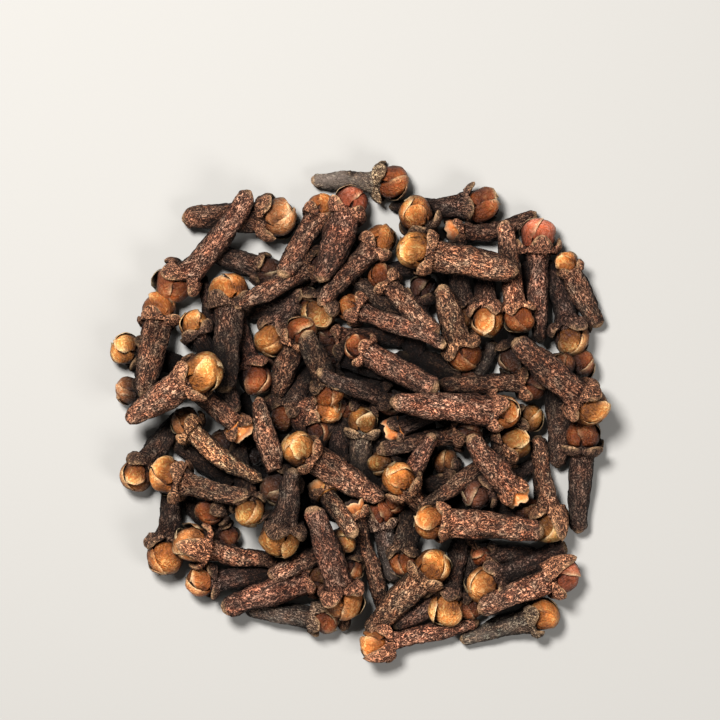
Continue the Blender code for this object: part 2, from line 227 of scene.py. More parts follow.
MIDDLE_LAYER = (
    (-16.3, 14.4, -16.9, 2.0, 3.4, 4.9, "split", "dark", "orange"),
    (-5.4, 18.0, -15.7, 12.6, 2.8, 3.8, "hooded", "brown"),
    (2.6, 21.0, -5.3, 13.0, 2.8, 4.0, "round", "brown", "orange", 0.3),
    (11.3, 22.1, 22.3, 24.3, 2.6, 3.2, "open", "brown", "orange", 1.0),
    (19.9, 11.2, 18.0, 23.5, 2.7, 3.4, "round", "red"),
    (26.0, 18.2, 30.0, 10.1, 3.3, 2.8, "split", "brown", "orange"),
    (16.0, 11.0, 15.2, 19.5, 2.8, 4.0, "split", "brown", "orange"),
    (12.9, 6.9, 10.0, 15.4, 3.2, 4.4, "round", "brown"),
    (2.8, 16.3, 9.8, 9.0, 2.8, 3.4, "round", "brown"),
    (21.6, 3.0, 9.8, 2.5, 2.7, 3.6, "round", "brown", "rust", 0.3),
    (-4.1, -0.2, -9.6, 0.3, 2.3, 3.2, "round", "brown", "orange"),
    (-7.4, 9.6, -10.6, 1.2, 3.2, 3.6, "round", "brown"),
    (-3.8, 2.2, -6.9, 9.6, 3.0, 3.6),
    (0.4, -1.8, -0.7, -10.8, 3.0, 3.8, "split", "grey", "ochre"),
    (-14.6, -3.0, -21.2, 3.0, 2.6, 3.2, "open", "brown", "orange"),
    (-10.0, -16.0, -8.2, -7.4, 3.0, 4.9, "split", "dark", "gold"),
    (-5.2, -21.2, -17.3, -25.2, 3.6, 3.8, "round", "brown", "ochre"),
    (-2.4, -16.7, -11.3, -21.2, 2.6, 3.2, "round", "brown", "ochre"),
    (-0.9, -12.2, 3.0, -25.4, 2.2, 2.8, "open", "red", "orange"),
    (-5.0, -9.7, -0.5, -16.0, 2.5, 3.2, "open", "brown", "gold"),
    (4.6, -11.4, 9.2, -3.2, 2.6, 3.6, "round", "brown"),
    (4.9, -8.9, 10.6, -15.4, 2.8, 4.0, "round", "brown", "orange"),
    (19.3, -4.6, 7.3, -12.8, 2.4, 4.0, "split", "brown", "ochre"),
    (23.8, -14.7, 22.3, -3.5, 2.6, 4.4, "hooded", "brown", "ochre"),
    (15.6, -22.3, 26.0, -17.4, 2.9, 4.6, "round", "dark", "gold"),
    (10.8, -25.1, 13.0, -15.3, 2.8, 4.4, "split", "dark", "gold"),
    (23.0, -26.0, 12.6, -29.3, 2.6, 4.0, "round", "grey", "orange"),
    (18.0, -20.6, 12.6, -15.6, 1.1, 1.1, "stalk", "brown"),
)
TOP_LAYER = (
    (-23.4, 15.7, -13.6, 27.1, 3.3, 4.6, "split", "brown", "rust", 0.8),
    (-4.8, 25.1, -9.9, 16.4, 3.0, 3.4, "round", "brown", "orange"),
    (-1.2, 25.7, -4.9, 15.7, 4.0, 4.2, "round", "brown", "red"),
    (7.0, 19.7, 19.7, 16.9, 3.9, 4.8, "split", "brown", "gold"),
    (22.3, 21.5, 22.4, 8.1, 2.7, 4.4, "round", "brown", "red"),
    (-1.1, 12.6, 10.7, 7.8, 2.3, 3.5, "round", "brown", "orange"),
    (28.6, 0.3, 19.1, 8.5, 3.5, 4.9, "round", "brown", "gold"),
    (3.6, 0.8, -5.4, 4.5, 2.3, 3.4),
    (17.9, -0.5, 3.9, 0.7, 3.8, 4.0, "split", "pink", "orange"),
    (-0.2, 7.6, 9.6, 2.2, 3.4, 3.2, "round", "pink"),
    (2.3, -13.4, 4.4, -22.1, 2.7, 3.6, "hooded", "grey"),
    (-7.6, -5.1, 3.0, -11.3, 3.6, 4.2, "split", "pink", "gold", 0.3),
    (-10.7, -7.9, -12.9, 1.4, 2.9, 2.4, "stalk", "pink"),
    (-25.2, 12.3, -27.0, 1.3, 3.6, 4.2, "round", "brown", "orange"),
    (-19.5, 4.4, -29.2, -1.4, 3.7, 4.9, "round", "pink", "gold"),
    (-21.8, -1.8, -12.2, -9.1, 2.7, 3.6, "round", "light", "tan", 0.7),
    (-23.9, -8.6, -14.0, -11.2, 2.7, 4.6, "split", "brown", "orange", 0.3),
    (-21.1, -16.9, -9.8, -19.5, 2.7, 4.4, "hooded", "red", "tan", 0.4),
    (-2.0, -24.0, -5.9, -12.2, 3.5, 4.8, "round", "brown", "gold"),
    (8.9, -14.2, 23.0, -15.4, 3.5, 4.2, "split", "red", "orange"),
    (19.7, -11.0, 13.4, -3.5, 3.2, 3.4, "open", "red", "orange"),
    (25.3, -21.0, 14.7, -25.2, 3.3, 4.4, "hooded", "red", "red"),
    (9.1, -19.9, 0.9, -28.4, 3.2, 4.4, "round", "brown", "orange"),
)
# Cloves that lie on the floor in the gaps between the others, and hardly show
FILL_LAYER = (
    (12.0, 18.6, 3.4, 17.3, 2.6, 3.2),
    (6.8, 10.6, -1.4, 16.2, 3.0, 3.4),
    (-4.2, 8.8, 6.0, 8.8, 2.7, 3.2, "round", "brown"),
    (13.4, 3.4, 7.0, 6.8, 3.0, 3.2),
    (-9.6, -1.2, -5.8, 5.4, 2.8, 3.4),
    (-5.6, -3.2, -12.0, 1.4, 3.2, 3.6, "round", "brown"),
    (-3.2, -7.4, -2.6, -0.8, 2.6, 3.0),
    (-13.4, -6.0, -14.4, 2.0, 2.2, 3.0),
    (-15.2, -9.9, -23.6, -4.4, 2.8, 3.4),
    (-6.4, -18.6, -7.2, -10.8, 2.2, 3.0),
    (5.4, -19.4, 6.8, -10.4, 3.4, 3.6),
    (12.4, -9.2, 5.8, -10.0, 2.8, 3.2),
    (20.6, -12.8, 9.8, -12.0, 2.6, 3.4),
    (11.2, -23.4, 4.0, -27.6, 3.0, 3.2),
    (13.9, -25.0, 14.4, -17.4, 2.3, 3.0),
    (15.4, -18.5, 22.4, -18.2, 2.4, 3.0),
    (-6.6, 13.6, -14.4, 11.5, 2.4, 3.0),
)

SKIN, FLESH, HOLLOW = 0, 1, 2


def paint(red, green, blue):
    """A colour given as it looks on a screen, 0 to 255, as the shader's linear values."""
    def linear(value):
        share = value / 255.0
        return share / 12.92 if share <= 0.04045 else ((share + 0.055) / 1.055) ** 2.4
    return (linear(red), linear(green), linear(blue))


def colour_property(label, note, red, green, blue):
    return bpy.props.FloatVectorProperty(
        name=label, description=note, subtype="COLOR", size=3,
        min=0.0, max=1.0, default=paint(red, green, blue),
    )


def size_property(label, note, default, low, high):
    return bpy.props.FloatProperty(
        name=label, description=note, default=default, min=low, max=high,
    )


class CloveSizes(bpy.types.PropertyGroup):
    """Sizes of a clove's relief and sepals."""

    wrinkle_depth: size_property(
        "Wrinkle depth", "Depth of the net of wrinkles on a stem, in mm", 0.38, 0.0, 1.0)
    dent_depth: size_property(
        "Dent depth", "Depth of the broad dents in a stem, in mm", 0.74, 0.0, 1.5)
    petal_step: size_property(
        "Petal step", "How far a petal's free edge stands over the next, in mm", 0.30, 0.0, 1.0)
    petal_thickness: size_property(
        "Petal thickness", "Half thickness of a petal, in mm", 0.11, 0.02, 0.5)
    sepal_length: size_property(
        "Sepal length", "Length of a sepal, as a share of its usual length", 1.0, 0.3, 2.0)
    sepal_thickness: size_property(
        "Sepal thickness", "Half thickness of a sepal at its base, in mm", 0.44, 0.05, 1.0)


class CloveColours(bpy.types.PropertyGroup):
    """Colours of the stems' skin and of the buds' flesh."""

    skin_brown: colour_property("Brown skin", "Most stems", 86, 52, 38)
    skin_dark: colour_property("Dark skin", "Stems low in the heap", 56, 35, 27)
    skin_grey: colour_property("Grey skin", "Stems with a dusty bloom", 72, 52, 42)
    skin_red: colour_property("Red skin", "Reddish stems", 104, 62, 46)
    skin_light: colour_property("Light skin", "The golden brown stem", 106, 68, 48)
    skin_pink: colour_property("Pinkish skin", "Paler, pinkish stems on top", 102, 63, 47)
    skin_ash: colour_property("Ash skin", "The palest grey stem", 84, 64, 52)
    flesh_gold: colour_property("Gold bud", "The palest buds", 224, 136, 62)
    flesh_orange: colour_property("Orange bud", "Bright orange buds", 218, 122, 52)
    flesh_rust: colour_property("Rust bud", "Dark reddish buds", 164, 80, 32)
    flesh_tan: colour_property("Tan bud", "Pinkish pale buds", 220, 134, 72)
    flesh_ochre: colour_property("Ochre bud", "Dull golden brown buds", 186, 112, 48)
    flesh_red: colour_property("Red bud", "Pinkish red buds", 190, 92, 52)
    # Painted shade: a darker copy of the bud colour, given to buds that lie low in the heap.
    flesh_dark: colour_property("Dark bud", "Nearly black brown buds", 112, 62, 36)
    # Painted shade: the near-black colour laid into creases, under petals' hidden edges, deep in cups
    # and deep in the heap.
    crevice_shade: colour_property("Crevice", "Deep between the wrinkles", 19, 10, 7)
    # Ridge tips: pale wear on the wrinkles' tips, brightened further with painted highlight.
    ridge_wear_and_highlight: colour_property("Ridge tips", "Worn tips of the wrinkles on a brown stem", 226, 165, 129)
    sepal_edge: colour_property("Sepal edges", "Dry edges of sepals and cut ends", 240, 190, 140)
    # Petal crowns: pale wear on the crowns, brightened with painted highlight.
    petal_crown_wear_and_highlight: colour_property("Petal crowns", "Worn crowns of the palest petals", 255, 200, 124)
    petal_edge: colour_property("Petal edges", "Pale dry edges of petals", 252, 222, 172)


class CloveStage(bpy.types.PropertyGroup):
    """Camera, floor and light."""

    field: bpy.props.FloatProperty(
        name="Field", description="Width of the view across the heap",
        default=0.090, subtype="DISTANCE", unit="LENGTH",
    )
    camera_height: bpy.props.FloatProperty(
        name="Camera height", description="Height of the camera over the heap's mid level",
        default=0.55, subtype="DISTANCE", unit="LENGTH",
    )
    key_power: bpy.props.FloatProperty(
        name="Key light", description="Power of the large soft light", default=3.1, unit="POWER",
    )
    fill_power: bpy.props.FloatProperty(
        name="Fill light", description="Power of the low light in front", default=0.55, unit="POWER",
    )
    floor_colour: colour_property("Floor", "Plain pale floor", 165, 162, 157)


def smooth(low, high, value):
    share = np.clip((value - low) / (high - low), 0.0, 1.0)
    return share * share * (3.0 - 2.0 * share)


def bow(share):
    """The share of its bend that a clove has on its way from tail to head."""
    return 4.0 * share * (1.0 - share)


def reach_of(row):
    return math.hypot(row.head_x - row.tail_x, row.head_y - row.tail_y)


class Heap:
    """The height of what lies on the floor so far, on a fine square grid."""

    def __init__(self):
        line = np.arange(-HALF_FIELD, HALF_FIELD, CELL)
        self.x, self.y = np.meshgrid(line, line, indexing="ij")
        self.ground = np.zeros_like(self.x)

    def footprint(self, row):
        """The cells under a clove, and how far along it each lies and how thick it is there."""
        reach = reach_of(row)
        along_x, along_y = (row.head_x - row.tail_x) / reach, (row.head_y - row.tail_y) / reach
        from_x, from_y = self.x - row.tail_x, self.y - row.tail_y
        along = from_x * along_x + from_y * along_y
        share = np.clip(along / reach, 0.0, 1.0)
        across = from_y * along_x - from_x * along_y - row.bend * bow(share)
        half = row.stem / 2.0 * np.interp(share, *zip(*STEM_OUTLINE))
        on_stem = (along >= 0.0) & (along <= reach)
        stem_room = np.where(on_stem, half ** 2 - across ** 2, -1.0)
        bud_room = (row.bud / 2.0) ** 2 - (along - reach) ** 2 - across ** 2
        room = np.maximum(stem_room, bud_room)
        cells = room > 0.0
        station = np.where(bud_room > stem_room, reach, along)
        return reach, cells, station[cells], np.sqrt(room[cells])

    def settle(self, row):
        """Lay a clove down: the lowest tilt and height that clears nearly all it lies on."""
        reach, cells, station, depth = self.footprint(row)
        need = np.maximum(self.ground[cells] - PRESS, 0.0) + depth
        slopes = np.linspace(-STEEPEST, STEEPEST, SLOPE_STEPS)
        lifts = np.quantile(need[None, :] - slopes[:, None] * station[None, :], CLEAR_SHARE, axis=1)
        best = np.argmin(lifts + slopes * BALANCE * reach)
        lift, slope = lifts[best], slopes[best]
        lowest = (lift + slope * station - depth).min()
        lift += max(0.0, -lowest) + FLOOR_GAP
        top = lift + slope * station + depth
        self.ground[cells] = np.maximum(self.ground[cells], top)
        return lift, slope

    def lay_low(self, row):
        """Lay a clove flat on the floor, in the gap that it fills."""
        lift = row.stem / 2.0 * STEM_OUTLINE[1][1] + FLOOR_GAP
        slope = (row.bud / 2.0 + FLOOR_GAP - lift) / reach_of(row)
        return lift, slope

    def measure_depths(self):
        """For each level, how far the heap rises over it on average round each cell."""
        self.depths = np.stack([
            spread(np.maximum(self.ground - level, 0.0), NEAR_CELLS) for level in range(DEPTH_LEVELS)
        ])

    def depth_at(self, points):
        """How deep points lie in the heap, in mm, between the levels below and above them."""
        cells = (points[:, :2] + HALF_FIELD) / CELL
        cells = np.clip(cells, 0, self.ground.shape[0] - 1).astype(int)
        level = np.clip(points[:, 2], 0.0, DEPTH_LEVELS - 1.001)
        below = level.astype(int)
        part = level - below
        here = self.depths[:, cells[:, 0], cells[:, 1]]
        index = np.arange(len(points))
        return here[below, index] * (1.0 - part) + here[below + 1, index] * part


def spread(values, reach):
    """The mean over a square round each cell, taken twice so that it falls off gently."""
    width = 2 * reach + 1
    for axis in (0, 1, 0, 1):
        padded = np.concatenate([
            np.repeat(values.take([0], axis), reach + 1, axis), values,
            np.repeat(values.take([-1], axis), reach, axis),
        ], axis)
        total = np.cumsum(padded, axis)
        count = values.shape[axis]
        upper = total.take(np.arange(width, width + count), axis)
        lower = total.take(np.arange(count), axis)
        values = (upper - lower) / width
    return values


def noise(points, size, offset):
    """Smooth noise from 0 to 1 at points in mm, with features of the given size in x, y and z."""
    places = points / np.asarray(size) + offset
    base = np.floor(places).astype(np.int64)
    part = places - base
    part = part * part * (3.0 - 2.0 * part)
    total = np.zeros(points.shape[:-1])
    for corner in range(8):
        step = [corner >> axis & 1 for axis in range(3)]
        key = sum((base[..., axis] + step[axis]) * SCATTER[axis] for axis in range(3))
        for shift, stir in STIRS:
            key = (key ^ (key >> shift)) * stir & 0x7FFFFFFF
        value = (key >> 8 & 0xFFFF) / 65535.0
        weight = 1.0
        for axis in range(3):
            weight = weight * (part[..., axis] if step[axis] else 1.0 - part[..., axis])
        total += weight * value
    return total


def ridges(points, size, offset):
    """The same noise folded in the middle, so that it has sharp crests."""
    return 1.0 - np.abs(2.0 * noise(points, size, offset) - 1.0)


def round_angles(columns):
    return np.linspace(0.0, math.tau, columns, endpoint=False)


def rings(stations, columns):
    """A grid of stations along an axis and angles round it."""
    return np.meshgrid(stations, round_angles(columns), indexing="ij")


def round_axis(out, angle, z):
    """Points at a distance out from an axis, at an angle round it and z along it."""
    return np.stack([out * np.cos(angle), out * np.sin(angle), z], axis=-1)


def turned(out, side, z, angle):
    """The points of one petal or sepal, turned to its angle round the axis."""
    cos, sin = math.cos(angle), math.sin(angle)
    return np.stack([out * cos - side * sin, out * sin + side * cos, z], axis=-1)


class Growth:
    """Gathers the surfaces of one kind of clove into one mesh with its marks."""

    MARKS = ("relief", "pale", "crease_shade", "dust", "shade", "grain", "tint")
    KINDS = {"grain": ("FLOAT_VECTOR", "vector"), "tint": ("FLOAT_COLOR", "color")}

    def __init__(self, name):
        self.name = name
        self.points = []
        self.faces = []
        self.slots = []
        self.marks = {mark: [] for mark in self.MARKS}
        self.count = 0

    def add(self, grid, slot, tint, relief, pale, crease_shade, grain, dust=LITTLE_DUST):
        """Adds a grid of rings, closed round and with a fan over its first and last ring."""
        rows, columns = grid.shape[:2]
        ends = np.stack([grid[0].mean(axis=0), grid[-1].mean(axis=0)])
        self.points.append(np.concatenate([grid.reshape(-1, 3), ends]))
        ring = np.arange(columns)
        after = (ring + 1) % columns
        lower = self.count + np.arange(rows - 1)[:, None] * columns
        upper = lower + columns
        quads = np.stack([lower + ring, lower + after, upper + after, upper + ring], axis=-1)
        last = self.count + (rows - 1) * columns
        start = last + columns
        pairs = list(zip(ring.tolist(), after.tolist()))
        faces = quads.reshape(-1, 4).tolist()
        faces += [[start, self.count + b, self.count + a] for a, b in pairs]
        faces += [[start + 1, last + a, last + b] for a, b in pairs]
        self.faces.extend(faces)
        self.slots.extend([slot] * len(faces))
        self.count = start + 2
        for mark, value in (("relief", relief), ("pale", pale), ("crease_shade", crease_shade), ("dust", dust)):
            self.keep(mark, value, (rows, columns))
        self.keep("grain", grain, (rows, columns, 3))
        self.keep("tint", tint, (rows, columns, 3))

    def keep(self, mark, value, shape):
        """Keeps a mark for each point of a grid, and for the two that close its ends."""
        flat = np.broadcast_to(value, shape).reshape(-1, *shape[2:])
        self.marks[mark].append(np.concatenate([flat, flat[:1], flat[-1:]]))

    def finish(self, materials, heap):
        points = np.concatenate(self.points)
        depth = np.maximum(heap.depth_at(points) - DEPTH_START, 0.0)
        self.marks["shade"].append(np.exp(-depth / DEPTH_FADE))
        points[:, 2] = np.maximum(points[:, 2], FLOOR_GAP)
        points[:, :2] -= HEAP_MIDDLE
        mesh = bpy.data.meshes.new(self.name)
        mesh.from_pydata((points * MM).tolist(), [], self.faces)
        marks = {mark: np.concatenate(parts) for mark, parts in self.marks.items()}
        marks["tint"] = np.insert(np.clip(marks["tint"], 0.0, 1.0), 3, 1.0, axis=1)
        for mark, values in marks.items():
            kind, field = self.KINDS.get(mark, ("FLOAT", "value"))
            layer = mesh.attributes.new(mark, kind, "POINT")
            layer.data.foreach_set(field, values.reshape(-1))
        for material in materials:
            mesh.materials.append(material)
        mesh.polygons.foreach_set("material_index", self.slots)
        mesh.shade_smooth()
        mesh.update()
        piece = bpy.data.objects.new(self.name, mesh)
        bpy.context.scene.collection.objects.link(piece)
        return piece


class Clove:
    """One clove: its axis in the heap, and the surfaces that grow along it."""

    def __init__(self, number, row, lift, slope, layer, sizes, colours):
        self.stem, self.bend, self.form = row.stem, row.bend, row.form
        self.tail = Vector((row.tail_x, row.tail_y, lift))
        head = Vector((row.head_x, row.head_y, lift + slope * reach_of(row)))
        self.along = (head - self.tail).normalized()
        self.left = Vector((0.0, 0.0, 1.0)).cross(self.along).normalized()
        self.up = self.along.cross(self.left)
        self.length = (head - self.tail).length
        self.radius = row.bud / 2.0
        self.fineness = FINENESS[layer]
        self.sizes = sizes
        self.draw = draw = np.random.default_rng(SEED + number)
        self.offset = draw.uniform(0.0, 90.0, 3)
        self.roll = draw.normal(math.tau / 8.0, ROLL_SPREAD)
        self.swirl = draw.choice([-1.0, 1.0])
        for name, extent in VARIES.items():
            setattr(self, name, draw.uniform(*extent))
        gain = 1.0 + draw.normal(0.0, HUE_SPREAD, 3) + draw.normal(0.0, LIGHTNESS_SPREAD)
        self.dust = DUST.get(row.skin, LITTLE_DUST)
        self.skin = np.clip(np.array(getattr(colours, "skin_" + row.skin)) * gain, 0.0, 1.0)
        self.flesh = np.clip(np.array(getattr(colours, "flesh_" + row.flesh)) * gain, 0.0, 1.0)

    def feature(self, kind):
        """The size of a kind of feature, and where its noise starts on this clove."""
        size, apart = FEATURES[kind]
        return size, self.offset + apart

    def place(self, local):
        """Moves points given as left, up and along into the heap, in mm."""
        bend = bow(np.clip(local[..., 2] / self.length, 0.0, 1.0))
        parts = (
            (local[..., 0] + self.bend * bend, self.left),
            (local[..., 1] + self.sag * bend, self.up),
            (local[..., 2], self.along),
        )
        return np.array(self.tail) + sum(value[..., None] * np.array(axis) for value, axis in parts)

    def stem_outline(self, z):
        """Radius of the stem at places z along it, with its flare into the calyx."""
        share = np.clip(z / self.length, 0.0, 1.0)
        body = self.stem / 2.0 * np.interp(share, *zip(*STEM_OUTLINE))
        if self.form == "stalk":
            return body * (1.0 - 0.35 * smooth(0.8, 1.0, share))
        flare = smooth(*FLARE, (self.length - z) / self.radius)
        rim = max(self.radius * RIM_WIDTH, self.stem / 2.0 * 0.98)
        return body * (1.0 - flare) + rim * flare

    def grow_stem(self, growth):
        """The stem from its cut tail to the rim of the calyx, or the whole of a bare stalk."""
        rows, columns = self.fineness["stem"]
        stalk = self.form == "stalk"
        top = self.length if stalk else self.length - RIM_BACK * self.radius
        z = top * np.linspace(0.0, 1.0, rows) ** 1.25
        from_tail = np.clip(1.0 - z / (0.32 * self.stem), 0.0, 1.0)
        radius = self.stem_outline(z) * np.sqrt(1.0 - 0.82 * from_tail ** 2)
        radius[-1] *= 0.6 if stalk else 0.80
        if stalk:
            z[-2] = top * 0.992
        z, angle = rings(z, columns)
        near_head = smooth(3.0, 0.6, (self.length - z) / self.radius)
        radius = radius[:, None] * (1.0 + 0.05 * near_head * np.cos(4.0 * (angle - self.roll)))
        circle = round_axis(radius, angle, z)
        folds = ridges(circle, *self.feature("folds"))
        fine = ridges(circle, *self.feature("fine folds"))
        dents = noise(circle, *self.feature("dents"))
        relief = np.clip(0.40 * folds ** 1.3 + 0.60 * fine, 0.0, 1.0)
        push = self.sizes.wrinkle_depth * (relief - 0.72) + self.sizes.dent_depth * (dents - 0.5)
        out = radius + push * min(1.0, self.stem / 2.4)
        side, rise = out * np.cos(angle), out * np.sin(angle) * self.flat
        cut = (1.0 - smooth(0.0, 1.2, z)) * (self.slant[0] * side + self.slant[1] * rise)
        grid = np.stack([side, rise, z + np.maximum(cut, -0.2)], axis=-1)
        pale = np.clip(self.scar * (1.0 - smooth(0.1, 0.7, z)), 0.0, 1.0)
        patches = noise(circle, *self.feature("patches"))
        # Painted shade: the stem's lower flanks are darker, and its dust is thinner there.
        flank_shade = 0.28 + 0.72 * smooth(-0.10, 0.95, np.sin(angle))
        dust = self.dust * smooth(1.0, 0.3, z / self.length) * flank_shade
        warm = noise(circle, *self.feature("warmth")) - 0.5
        hues = np.stack([1.0 + 0.40 * warm, 1.0 - 0.20 * warm, 1.0 - 0.50 * warm], axis=-1)
        tint = self.skin * ((0.50 + 1.20 * patches) * flank_shade)[..., None] * hues
        growth.add(self.place(grid), SKIN, tint, relief, pale, 0.0, grid + self.offset, dust)

    def grow_ball(self, growth):
        """The inside of the bud, which shows only between petals, painted dark as shade."""
        rows, columns = self.fineness["ball"]
        tilt, angle = rings(np.linspace(*BALL_TILT, rows), columns)
        radius = self.radius * BALL_SHARE
        grid = round_axis(radius * np.sin(tilt), angle, self.length + radius * np.cos(tilt))
        growth.add(self.place(grid), FLESH, self.flesh * 0.45, 0.2, 0.0, 0.6, grid + self.offset)

    def grow_petal(self, growth, angle, order, lift, crown):
        """A spoon-shaped petal on the ball, one edge over and one edge under its neighbours."""
        rows, columns = self.fineness["petal"]
        share = np.linspace(0.0, 1.0, rows)[:, None]
        turn = round_angles(columns)[None, :]
        tilt = PETAL_BASE + (crown - PETAL_BASE) * share
        width = PETAL_WIDTH * (0.62 + 0.38 * smooth(0.0, 0.4, share)) * (1.0 - share ** 5) ** 0.5
        sidewise = -np.cos(turn) * self.swirl
        across = -width * np.cos(turn)
        none = 0.0 * across
        rim = np.stack([across * 2.2, tilt * 2.2 + none, none], axis=-1)
        ragged = noise(rim, 1.0, self.offset + order)
        tilt = tilt - 0.40 * (ragged - 0.5) * share ** 2
        thick = self.sizes.petal_thickness * (1.0 - share ** 8) ** 0.5
        direction = np.stack([
            np.sin(tilt) * np.cos(across), np.sin(across), np.cos(tilt) * np.cos(across),
        ], axis=-1)
        sphere = direction * self.radius + order * 7.0
        pits = noise(sphere, *self.feature("pits"))
        lumps = noise(sphere, *self.feature("lumps"))
        fan = np.stack([across * 1.6, tilt * 0.4 + order, none], axis=-1)
        veins = ridges(fan, *self.feature("veins"))
        free = smooth(0.10, 0.55, share)
        out = self.radius * 0.955 + thick * np.sin(turn) + self.sizes.petal_step * sidewise * free
        out = out + 0.14 * (pits - 0.5) + 0.34 * (lumps - 0.5) + 0.07 * (veins - 0.5)
        local = direction * (out + lift * share ** 2)[..., None]
        grid = turned(local[..., 0], local[..., 1], self.length + local[..., 2], angle)
        over, under = np.maximum(sidewise, 0.0), np.maximum(-sidewise, 0.0)
        tip = smooth(0.80, 1.0, share)
        pale = self.edging * np.maximum(over ** 9 * free, tip) * smooth(0.20, 0.55, lumps)
        # Painted shade: a dark line where a petal slips under its neighbour, and its inner side dark.
        inner = 0.8 * (np.sin(turn) < -0.1)
        crease_shade = np.maximum(smooth(0.40, 0.74, under) * free * 0.9, inner)
        # The free crown of a petal stands higher in relief, so the tone gives it pale wear with painted
        # highlight.
        relief = 0.35 * pits + 0.30 * veins + 0.25 * lumps + 0.30 * free * (1.0 - under)
        relief = np.clip(relief, 0.0, 1.0)
        # Painted shade: each petal is darker towards the calyx and on its lower side.
        depth = 1.0 - 0.62 * smooth(0.75, 1.6, np.abs(tilt))
        flank_shade = 0.32 + 0.68 * smooth(-0.25, 0.80, grid[..., 1] / self.radius)
        tint = self.flesh * (depth * flank_shade * (0.60 + 0.80 * lumps))[..., None]
        growth.add(self.place(grid), FLESH, tint, relief, pale, crease_shade, grid + self.offset)

    def grow_bud(self, growth):
        """Four petals round a ball painted dark as shade; in split buds two of them have shrunk back.
        """
        self.grow_ball(growth)
        first = self.roll + self.draw.uniform(0.0, math.tau / 4.0)
        shrunk = {"split": (0, 2), "hooded": (1,)}.get(self.form, ())
        for order in range(4):
            angle = first + order * math.tau / 4.0
            crown = self.draw.uniform(*(SHRUNK_CROWN if order in shrunk else PETAL_CROWN))
            lift = self.draw.uniform(*(SHRUNK_LIFT if order in shrunk else PETAL_LIFT))
            self.grow_petal(growth, angle, order, lift, crown)

    def grow_cup(self, growth):
        """The inside of a calyx that has lost its bud, with shreds of its petals."""
        rows, columns = self.fineness["cup"]
        deep, angle = rings(np.linspace(0.0, 1.0, rows), columns)
        stations, widths, rises = zip(*CUP_OUTLINE)
        radius = self.radius * np.interp(deep, stations, widths)
        z = self.length + self.radius * np.interp(deep, stations, rises)
        circle = round_axis(radius, angle, z)
        rough = noise(circle, *self.feature("crumbs"))
        ragged = noise(round_axis(3.0, angle, 0.0 * angle), *self.feature("ragged"))
        standing = smooth(0.0, 0.35, deep) * smooth(0.75, 0.4, deep)
        z = z + self.radius * 0.5 * (ragged - 0.5) * standing
        grid = round_axis(radius + 0.2 * (rough - 0.5), angle, z)
        rim = np.exp(-((deep - 0.4) / 0.10) ** 2)
        # Painted shade: the cup is darker the deeper in it.
        inside = smooth(0.45, 0.75, deep)
        growth.add(self.place(grid), HOLLOW, self.flesh, rough, rim, inside, circle + self.offset)
        for index in range(CUP_SHREDS):
            angle = index * math.tau / CUP_SHREDS + self.roll
            reach = 0.35 + 0.4 * self.draw.random()
            self.grow_flap(growth, angle, reach, -0.6, 0.45, FLESH, self.flesh, 0.62)

    def grow_flap(self, growth, angle, reach, opening, curl, slot, tint, start=0.90):
        """A sepal or a shred of petal: a flat tapering tongue on a curved spine."""
        rows, columns = self.fineness["sepal"]
        radius = self.radius
        share = np.linspace(0.0, 1.0, rows)
        out = radius * (start + 0.24 * smooth(0.0, 0.5, share) + 0.34 * opening * share ** 1.5)
        out = out + radius * 0.30 * curl * share ** 4
        rise = (1.15 + 0.35 * (1.0 - opening)) * reach * share
        z = self.length + radius * (-1.0 + rise - 0.22 * curl * share ** 5)
        slope_out, slope_z = np.gradient(out, share), np.gradient(z, share)
        size = np.hypot(slope_out, slope_z)
        normal_out, normal_z = slope_z / size, -slope_out / size
        half_width = radius * 0.80 * (1.0 - share ** 5) ** 0.5 * (1.0 - 0.44 * share)
        half_thick = self.sizes.sepal_thickness * (1.0 - 0.30 * share)
        half_thick = half_thick * (1.0 - share ** 6) ** 0.5 + 0.01
        turn = round_angles(columns)[None, :]
        side = -half_width[:, None] * np.cos(turn)
        lift = half_thick[:, None] * np.sin(turn)
        flat = np.stack([side, lift, z[:, None] + 0.0 * side], axis=-1)
        hug = lift - side ** 2 / (2.4 * radius)
        out = out[:, None] + normal_out[:, None] * hug
        z = z[:, None] + normal_z[:, None] * hug
        size, offset = self.feature("sepal folds")
        folds = ridges(flat, size, offset + angle)
        creases = ridges(flat, *self.feature("sepal creases"))
        relief = np.clip(0.6 * folds + 0.4 * creases, 0.0, 1.0)
        grid = turned(out + 0.14 * (relief - 0.6), side, z, angle)
        edge = np.abs(np.cos(turn)) ** 5 * smooth(0.30, 0.65, share)[:, None]
        tip = smooth(0.82, 1.0, share)[:, None]
        pale = self.edging * np.clip(np.maximum(edge, tip * 0.9), 0.0, 1.0)
        growth.add(self.place(grid), slot, tint, relief, pale, 0.0, grid + self.offset)

    def grow_calyx(self, growth):
        """Four sepals, of which a hooded bud has one that arches over it."""
        for index in range(4):
            angle = self.roll + index * math.tau / 4.0 + self.draw.normal(0.0, SEPAL_SPREAD)
            reach, opening, curl = self.reach[index], self.opening[index], self.curl[index]
            if self.form == "hooded" and index == 0:
                reach, opening, curl = HOOD
            reach = reach * self.sizes.sepal_length
            self.grow_flap(growth, angle, reach, opening, curl, SKIN, self.skin * (1.30, 1.20, 1.05))

    def grow(self, growth):
        self.grow_stem(growth)
        if self.form == "stalk":
            return
        self.grow_calyx(growth)
        if self.form == "open":
            self.grow_cup(growth)
        else:
            self.grow_bud(growth)


def settled_heap():
    """The laid heap, and every clove of it with its layer's name, from the lowest up."""
    heap = Heap()
    scene = bpy.context.scene
    found = []
    layers = (
        ("low", LOW_LAYER, heap.settle),
        ("middle", MIDDLE_LAYER, heap.settle),
        ("top", TOP_LAYER, heap.settle),
        ("fill", FILL_LAYER, heap.lay_low),
    )
    for layer, rows, lay in layers:
        for row in rows:
            row = Row(*row)
            lift, slope = lay(row)
            clove = Clove(len(found), row, lift, slope, layer, scene.clove_sizes, scene.clove_colours)
            found.append((layer, clove))
    heap.measure_depths()
    return heap, found


